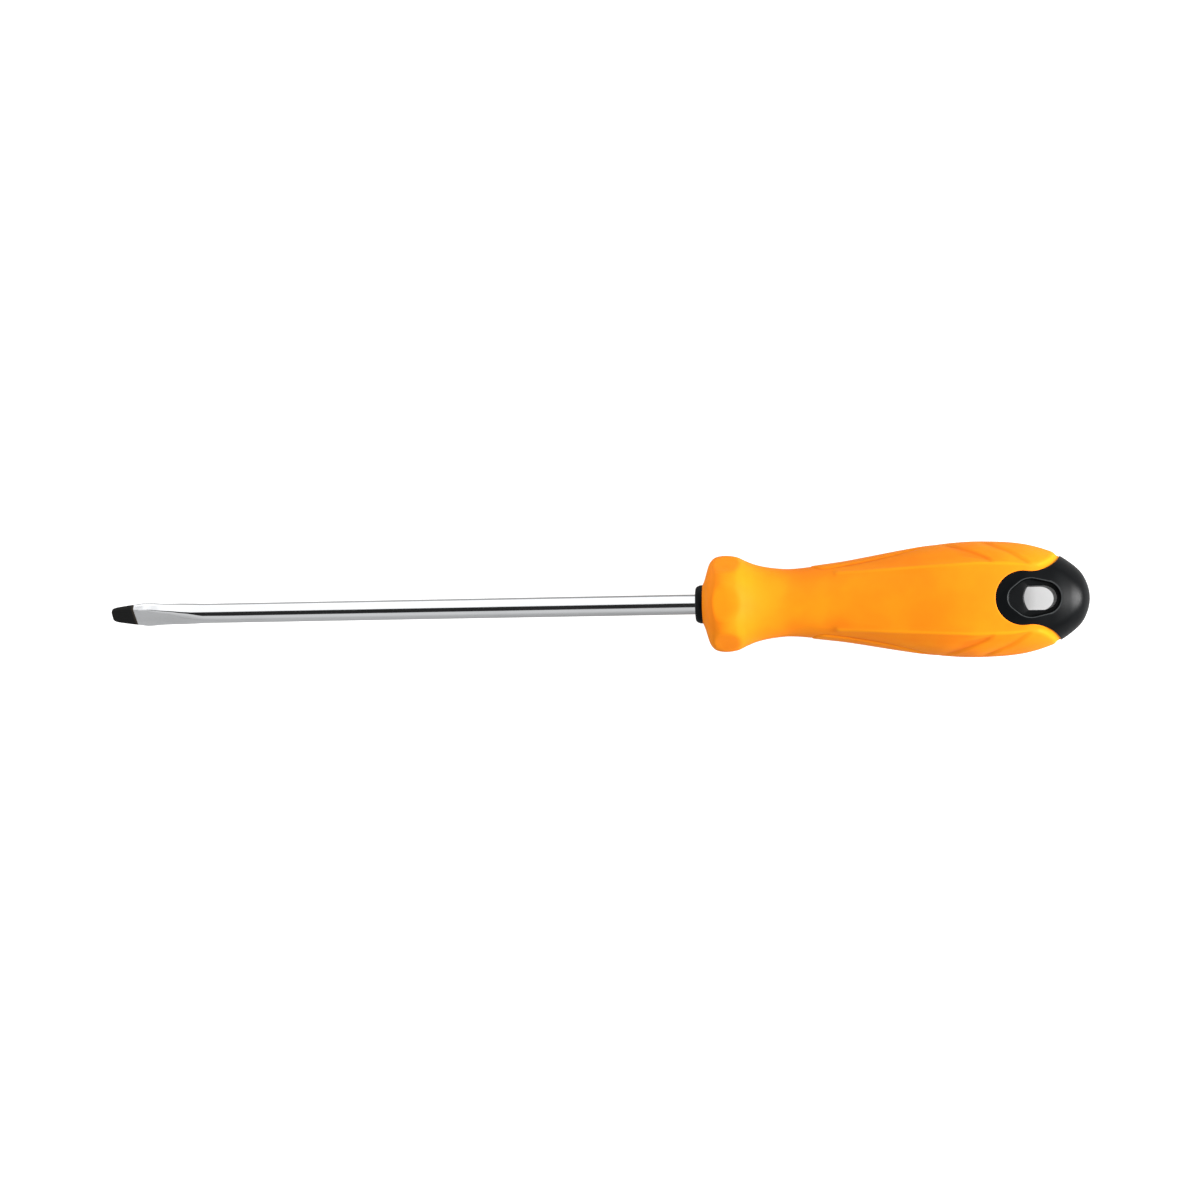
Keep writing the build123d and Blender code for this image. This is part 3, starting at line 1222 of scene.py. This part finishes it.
class Shader(NodeSketch):
    """Node tree of one material, with a Principled surface."""

    def __init__(self, name: str) -> None:
        """Starts a new material.

        Args:
            name: Name of the material.
        """
        self.material = bpy.data.materials.new(name)
        self.material.use_nodes = True
        super().__init__(self.material.node_tree)
        self.surface = self.add("ShaderNodeBsdfPrincipled")
        output = self.add("ShaderNodeOutputMaterial")
        self.join(self.surface.outputs["BSDF"], output.inputs["Surface"])
        self.place = self.add("ShaderNodeTexCoord").outputs["Object"]

    def fixed(self, **values: object) -> None:
        """Constants on the surface's own sockets, with underscores for spaces in their names."""
        for name, value in values.items():
            self.surface.inputs[name.replace("_", " ")].default_value = value

    def noise(self, size_mm: float, detail: float = 2.0, stretch: float = 1.0) -> bpy.types.NodeSocket:
        """Noise over the piece.

        Args:
            size_mm: Rough size of its spots.
            detail: Octaves of the noise.
            stretch: How many times longer the spots are along the tool.

        Returns:
            The noise's value socket.
        """
        mapping = self.add("ShaderNodeMapping")
        mapping.inputs["Scale"].default_value = (1 / stretch, 1, 1)
        self.join(self.place, mapping.inputs["Vector"])
        noise = self.add("ShaderNodeTexNoise")
        noise.inputs["Scale"].default_value = 1 / (size_mm * MM)
        noise.inputs["Detail"].default_value = detail
        self.join(mapping.outputs["Vector"], noise.inputs["Vector"])
        return noise.outputs["Fac"]

    def blend(self, share: bpy.types.NodeSocket, first: object, second: object) -> bpy.types.NodeSocket:
        """Colour between two others, each a socket or a tuple of red, green and blue.

        Args:
            share: How much of the second there is.
            first: Colour at a share of 0.
            second: Colour at a share of 1.

        Returns:
            The colour's socket.
        """
        node = self.add("ShaderNodeMix", data_type="RGBA")
        self.join(share, node.inputs["Factor"])
        sockets = [s for s in node.inputs if s.type == "RGBA"]
        for colour, socket in zip((first, second), sockets):
            if isinstance(colour, tuple):
                socket.default_value = (*colour, 1.0)
            else:
                self.join(colour, socket)
        return next(s for s in node.outputs if s.type == "RGBA")

    def grain(self, height: bpy.types.NodeSocket, height_mm: float, under: object = None) -> bpy.types.NodeSocket:
        """Bump from a height socket, on top of another bump where one is given.

        Args:
            height: The height's socket.
            height_mm: What a height of 1 stands for.
            under: Socket of the bump below, if there is one.

        Returns:
            The bent normal's socket.
        """
        node = self.add("ShaderNodeBump")
        node.inputs["Distance"].default_value = height_mm * MM
        self.join(height, node.inputs["Height"])
        if under is not None:
            self.join(under, node.inputs["Normal"])
        return node.outputs["Normal"]


@dataclass(frozen=True)
class SoftRubber:
    """Matte moulded rubber with a fine grain, with a painted highlight on its ridges and painted shade in its
    grooves.
    """

    name: str = "orange_soft_rubber"
    colour: Colour = (0.93, 0.235, 0.004)
    painted_groove_shade: Colour = (0.88, 0.2, 0.004)
    pale_tone_and_highlight: Colour = (0.95, 0.3, 0.005)
    roughness: Span = (0.5, 0.64)
    specular: float = 0.11
    grain_mm: float = 0.16
    grain_height_mm: float = 0.006
    grain_span: Span = (0.25, 0.75)
    cloud_mm: float = 9.0
    cloud_span: Span = (0.3, 0.7)
    cloud_share: float = 0.5
    painted_highlight_mm: Span = (0.08, 0.24)
    painted_shade_mm: Span = (-0.14, -0.36)

    def material(self) -> bpy.types.Material:
        """The finish as a material.

        Returns:
            The material.
        """
        shader = Shader(self.name)
        shader.fixed(Specular_IOR_Level=self.specular)
        clouds = shader.remap(shader.noise(self.cloud_mm, 3.0), self.cloud_span, (0.0, self.cloud_share))
        base = shader.blend(clouds, self.colour, self.pale_tone_and_highlight)
        relief = shader.add("ShaderNodeAttribute", attribute_name=RELIEF_LAYER).outputs["Fac"]
        # Painted highlight: where the detail stands up, on ridges and on the lobe band, the colour turns paler.
        base = shader.blend(shader.remap(relief, self.painted_highlight_mm), base, self.pale_tone_and_highlight)
        # Painted shade: in grooves, in hollows and down the opening's wall, the colour turns darker.
        base = shader.blend(shader.remap(relief, self.painted_shade_mm), base, self.painted_groove_shade)
        shader.join(base, shader.surface.inputs["Base Color"])
        fine = shader.noise(self.grain_mm, 2.0)
        shader.join(shader.remap(fine, self.grain_span, self.roughness), shader.surface.inputs["Roughness"])
        under = shader.grain(shader.noise(self.grain_mm * 4, 1.0), self.grain_height_mm)
        shader.join(shader.grain(fine, self.grain_height_mm, under), shader.surface.inputs["Normal"])
        return shader.material


@dataclass(frozen=True)
class HardPlastic:
    """Satin black moulded plastic with a faint mould texture and a painted highlight along the dish's brink."""

    name: str = "black_hard_plastic"
    colour: Colour = (0.0022, 0.0026, 0.003)
    worn: Colour = (0.0032, 0.0038, 0.0043)
    painted_rim_colour: Colour = (0.055, 0.058, 0.06)
    roughness: Span = (0.32, 0.38)
    specular: float = 0.072
    grain_mm: float = 0.22
    grain_height_mm: float = 0.004
    grain_span: Span = (0.25, 0.75)
    cloud_mm: float = 5.0
    cloud_span: Span = (0.35, 0.7)

    def material(self) -> bpy.types.Material:
        """The finish as a material.

        Returns:
            The material.
        """
        shader = Shader(self.name)
        shader.fixed(Specular_IOR_Level=self.specular)
        clouds = shader.remap(shader.noise(self.cloud_mm, 3.0), self.cloud_span)
        base = shader.blend(clouds, self.colour, self.worn)
        # Painted highlight: a lighter line along the dish's brink, where its rounded edge would catch the light.
        painted_rim_highlight = shader.add("ShaderNodeAttribute", attribute_name=RIM_HIGHLIGHT_LAYER).outputs["Fac"]
        shader.join(shader.blend(painted_rim_highlight, base, self.painted_rim_colour), shader.surface.inputs["Base Color"])
        fine = shader.noise(self.grain_mm, 2.0)
        shader.join(shader.remap(fine, self.grain_span, self.roughness), shader.surface.inputs["Roughness"])
        shader.join(shader.grain(fine, self.grain_height_mm), shader.surface.inputs["Normal"])
        return shader.material


@dataclass(frozen=True)
class PlatedSteel:
    """Bright chrome plating that ends in a blackened tip, with a heat-tinted edge between them."""

    name: str = "chrome_with_black_tip"
    chrome: Colour = (0.74, 0.75, 0.765)
    dull: Colour = (0.7, 0.71, 0.725)
    black: Colour = (0.006, 0.006, 0.006)
    tint: Colour = (0.04, 0.03, 0.02)
    chrome_roughness: Span = (0.07, 0.12)
    ground_roughness: float = 0.2
    black_roughness: float = 0.45
    black_specular: float = 0.1
    tip_mm: float = 6.35
    tip_slant: float = 0.075
    tip_edge_mm: float = 0.12
    ragged_mm: float = 0.5
    ragged_reach: float = 0.35
    tint_width_mm: float = 0.9
    streak_mm: float = 0.35
    streak_height_mm: float = 0.0012
    streak_stretch: float = 30.0
    streak_span: Span = (0.3, 0.7)
    smudge_mm: float = 3.0
    smudge_span: Span = (0.35, 0.75)
    ground_mm: Span = (17.0, 11.0)

    def material(self) -> bpy.types.Material:
        """The finish as a material.

        Returns:
            The material.
        """
        shader = Shader(self.name)
        shader.fixed(Specular_IOR_Level=self.black_specular)
        place = shader.add("ShaderNodeSeparateXYZ")
        shader.join(shader.place, place.inputs["Vector"])
        along = shader.maths("MULTIPLY", place.outputs["X"], 1 / MM)
        aside = shader.maths("MULTIPLY", place.outputs["Y"], self.tip_slant / MM)
        ragged = shader.maths("MULTIPLY", shader.noise(self.ragged_mm, 4.0), self.ragged_reach)
        past = shader.maths("ADD", shader.maths("ADD", along, aside), ragged)
        edge = (self.tip_mm + self.tip_edge_mm, self.tip_mm - self.tip_edge_mm)
        blackened = shader.remap(past, edge)

        smudge = shader.remap(shader.noise(self.smudge_mm, 4.0, 4.0), self.smudge_span)
        plating = shader.blend(smudge, self.chrome, self.dull)
        tinted = shader.remap(past, (self.tip_mm - self.tint_width_mm, self.tip_mm))
        oxide = shader.blend(tinted, self.black, self.tint)
        shader.join(shader.blend(blackened, plating, oxide), shader.surface.inputs["Base Color"])

        streaks = shader.noise(self.streak_mm, 3.0, self.streak_stretch)
        bright = shader.remap(streaks, self.streak_span, self.chrome_roughness)
        ground = shader.remap(along, self.ground_mm)
        dulled = shader.maths("MULTIPLY", ground, self.ground_roughness - self.chrome_roughness[0])
        rough = shader.maths("ADD", bright, dulled)
        extra = shader.maths("MULTIPLY", blackened, self.black_roughness - self.ground_roughness)
        shader.join(shader.maths("ADD", rough, extra), shader.surface.inputs["Roughness"])
        shader.join(shader.remap(blackened, (0.0, 1.0), (1.0, 0.0)), shader.surface.inputs["Metallic"])
        shader.join(shader.grain(streaks, self.streak_height_mm), shader.surface.inputs["Normal"])
        return shader.material


# --- studio -----------------------------------------------------------------------------------------


@dataclass
class Studio:
    """Pale floor with painted light and shade on it, a light tent, a key light beyond the handle and the camera.

    Tent levels are pairs: an angle or a height of the direction, and the brightness there.
    """

    floor_span: float = 6.0
    floor_grey_and_painted_shade: Points = ((0.02, 0.43), (0.15, 0.29), (0.17, 0.45))
    floor_roughness: float = 0.9
    floor_specular: float = 0.1
    floor_glow: float = 0.95
    painted_shadow_at: float = 0.236
    painted_shadow_reach: Span = (0.009, 0.012)
    painted_shadow_glow: float = 0.27
    glow_strip_from: Span = (0.03, 0.045)
    glow_strip_to: Span = (0.14, 0.155)
    glow_strip_strength: float = 1.0
    band_levels: Points = (
        (-90.0, 0.72), (-76.0, 0.8), (-62.0, 0.97), (-37.0, 0.97), (-31.0, 0.03), (11.0, 0.03),
        (17.0, 1.75),
    )
    band_span: tuple[float, float, float, float] = (-0.45, -0.32, -0.05, 0.0)
    height_levels: Points = (
        (0.0, 1.0), (0.5, 1.55), (0.75, 1.45), (0.9, 0.3), (1.0, 0.12),
    )
    side_span: Span = (0.4, 1.0)
    side_level: float = 0.8
    low_side_span: Span = (0.0, -0.8)
    low_side_level: float = 0.9
    front_span: Span = (-0.4, -0.9)
    front_level: float = 1.35
    key_power: float = 25.5
    key_size: Span = (0.21, 0.42)
    key_far: float = 1.1
    key_height_deg: float = 20.0
    key_aim: float = 0.2
    focal_mm: float = 91.53
    sensor_mm: float = 36.0
    camera_far: float = 0.772
    camera_up: float = 0.00157
    camera_at: float = 0.12572
    camera_tilt_deg: float = 5.3
    camera_turn_deg: float = 1.06
    camera_lean_deg: float = 1.0
    camera_clip: Span = (0.01, 20.0)

    def build(self, floor_height: float) -> None:
        """Makes the whole studio.

        Args:
            floor_height: Height of the floor, in metres.
        """
        self.lay_floor(floor_height)
        self.hang_tent()
        self.hang_key()
        self.set_camera()

    def lay_floor(self, height: float) -> None:
        """Pale floor, blown out to white where it is seen directly except for a painted shadow under the slot, with
        a glowing strip of painted light by the shank and its grey painted darker near the handle's front.

        Args:
            height: Height of the floor, in metres.
        """
        start_fresh()
        bpy.ops.mesh.primitive_plane_add(size=self.floor_span, location=(0, 0, height))
        floor = bpy.context.object
        floor.name = "studio_floor"
        shader = Shader("studio_floor")
        shader.fixed(Roughness=self.floor_roughness, Specular_IOR_Level=self.floor_specular)
        shader.fixed(Emission_Color=(1.0, 1.0, 1.0, 1.0))
        place = shader.add("ShaderNodeSeparateXYZ")
        shader.join(shader.place, place.inputs["Vector"])
        # Painted shade: the floor's grey dips near the handle's front, as if the handle shaded it, and the shank's
        # underside reflects that.
        shader.join(shader.levels(place.outputs["X"], self.floor_grey_and_painted_shade), shader.surface.inputs["Base Color"])
        # Painted pool of light: a strip of floor beside the shank glows for every ray, and the shank reflects it.
        beside = shader.remap(place.outputs["Y"], self.glow_strip_from, (0.0, self.glow_strip_strength))
        ahead = shader.remap(place.outputs["X"], self.glow_strip_to, (1.0, 0.0))
        glow_strip = shader.maths("MULTIPLY", beside, ahead)
        # Painted shadow: where the camera sees the floor, it glows less over a disc under the slot.
        seen = shader.add("ShaderNodeLightPath").outputs["Is Camera Ray"]
        apart = shader.add("ShaderNodeVectorMath", operation="DISTANCE")
        shader.join(shader.place, apart.inputs[0])
        apart.inputs[1].default_value = (self.painted_shadow_at, 0.0, 0.0)
        clear = shader.remap(apart.outputs["Value"], self.painted_shadow_reach, (self.painted_shadow_glow, self.floor_glow))
        glow = shader.maths("MULTIPLY_ADD", seen, clear, glow_strip)
        shader.join(glow, shader.surface.inputs["Emission Strength"])
        floor.data.materials.append(shader.material)
        floor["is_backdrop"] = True

    def hang_tent(self) -> None:
        """Light from all round, dark overhead, with a white side and a dark strip for the shank."""
        world = bpy.data.worlds.new("light_tent")
        world.use_nodes = True
        bpy.context.scene.world = world
        sketch = NodeSketch(world.node_tree)
        output = sketch.add("ShaderNodeOutputWorld")
        light = sketch.add("ShaderNodeBackground")
        sketch.join(light.outputs["Background"], output.inputs["Surface"])
        split = sketch.add("ShaderNodeSeparateXYZ")
        sketch.join(sketch.add("ShaderNodeTexCoord").outputs["Generated"], split.inputs["Vector"])
        along, aside, up = (split.outputs[axis] for axis in "XYZ")

        turn = sketch.maths("ARCTAN2", aside, up)
        degrees = sketch.maths("MULTIPLY", turn, 180 / math.pi)
        band = sketch.levels(degrees, self.band_levels)
        fade_in, full, fade, gone = self.band_span
        near = sketch.remap(along, (fade_in, full))
        inside = sketch.maths("MULTIPLY", near, sketch.remap(along, (fade, gone), (1.0, 0.0)))

        sides = sketch.remap(sketch.maths("ABSOLUTE", aside), self.side_span, (1.0, self.side_level))
        low_side = sketch.remap(aside, self.low_side_span, (1.0, self.low_side_level))
        front = sketch.remap(along, self.front_span, (1.0, self.front_level))
        tent = sketch.levels(up, self.height_levels)
        for share in (sides, low_side, front):
            tent = sketch.maths("MULTIPLY", tent, share)
        gap = sketch.maths("SUBTRACT", band, tent)
        sketch.join(sketch.maths("MULTIPLY_ADD", gap, inside, tent), light.inputs["Strength"])

    def hang_key(self) -> None:
        """Tall narrow key light beyond the handle's end, low down."""
        start_fresh()
        rise = math.radians(self.key_height_deg)
        aim = Vector((self.key_aim, 0.0, 0.0))
        away = Vector((math.cos(rise), 0.0, math.sin(rise)))
        bpy.ops.object.light_add(type="AREA", location=aim + away * self.key_far)
        key = bpy.context.object
        key.name = "key_light"
        key.data.shape = "RECTANGLE"
        key.data.size, key.data.size_y = self.key_size
        key.data.energy = self.key_power
        key.rotation_euler = away.to_track_quat("Z", "Y").to_euler()

    def set_camera(self) -> None:
        """Camera above the tool, tilted a little towards the handle and leant to the -Y side."""
        tilt, turn = math.radians(self.camera_tilt_deg), math.radians(self.camera_turn_deg)
        right = Vector((math.cos(tilt) * math.cos(turn), -math.sin(turn), -math.sin(tilt) * math.cos(turn)))
        up = Vector((math.cos(tilt) * math.sin(turn), math.cos(turn), -math.sin(tilt) * math.sin(turn)))
        back = Vector((math.sin(tilt), 0.0, math.cos(tilt)))
        place = Vector((self.camera_at, 0.0, 0.0)) + up * self.camera_up + back * self.camera_far
        data = bpy.data.cameras.new("studio_camera")
        data.lens = self.focal_mm
        data.sensor_width = self.sensor_mm
        data.clip_start, data.clip_end = self.camera_clip
        camera = bpy.data.objects.new("studio_camera", data)
        bpy.context.scene.collection.objects.link(camera)
        lean = Matrix.Rotation(math.radians(self.camera_lean_deg), 4, "X")
        upright = Matrix.Translation(place) @ Matrix((right, up, back)).transposed().to_4x4()
        camera.matrix_world = lean @ upright
        bpy.context.scene.camera = camera


# --- the whole tool ---------------------------------------------------------------------------------


def dress(piece: bpy.types.Object, finish: bpy.types.Material, node: Node) -> None:
    """Gives a piece its finish, puts it under the root body and hides the CAD piece that it stands for.

    Args:
        piece: The piece.
        finish: Its material.
        node: The CAD piece.
    """
    piece.data.materials.clear()
    piece.data.materials.append(finish)
    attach(piece, ROOT)
    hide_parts(node.value)
    LOG.info("%s: %d faces", piece.name, len(piece.data.polygons))


def main() -> None:
    """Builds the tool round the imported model, then the studio."""
    logging.basicConfig(level=logging.INFO, format="%(name)s %(message)s")
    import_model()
    cad_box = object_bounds()
    floor_height = cad_box[0][2]
    dress(Shank().build(), PlatedSteel().material(), Node.SHANK)
    dress(HandleCore().build(), HardPlastic().material(), Node.CORE)
    dress(GripSleeve().build(), SoftRubber().material(), Node.SLEEVE)
    Studio().build(floor_height)
    bpy.context.scene.view_settings.view_transform = "Standard"


if __name__ == "__main__":
    main()
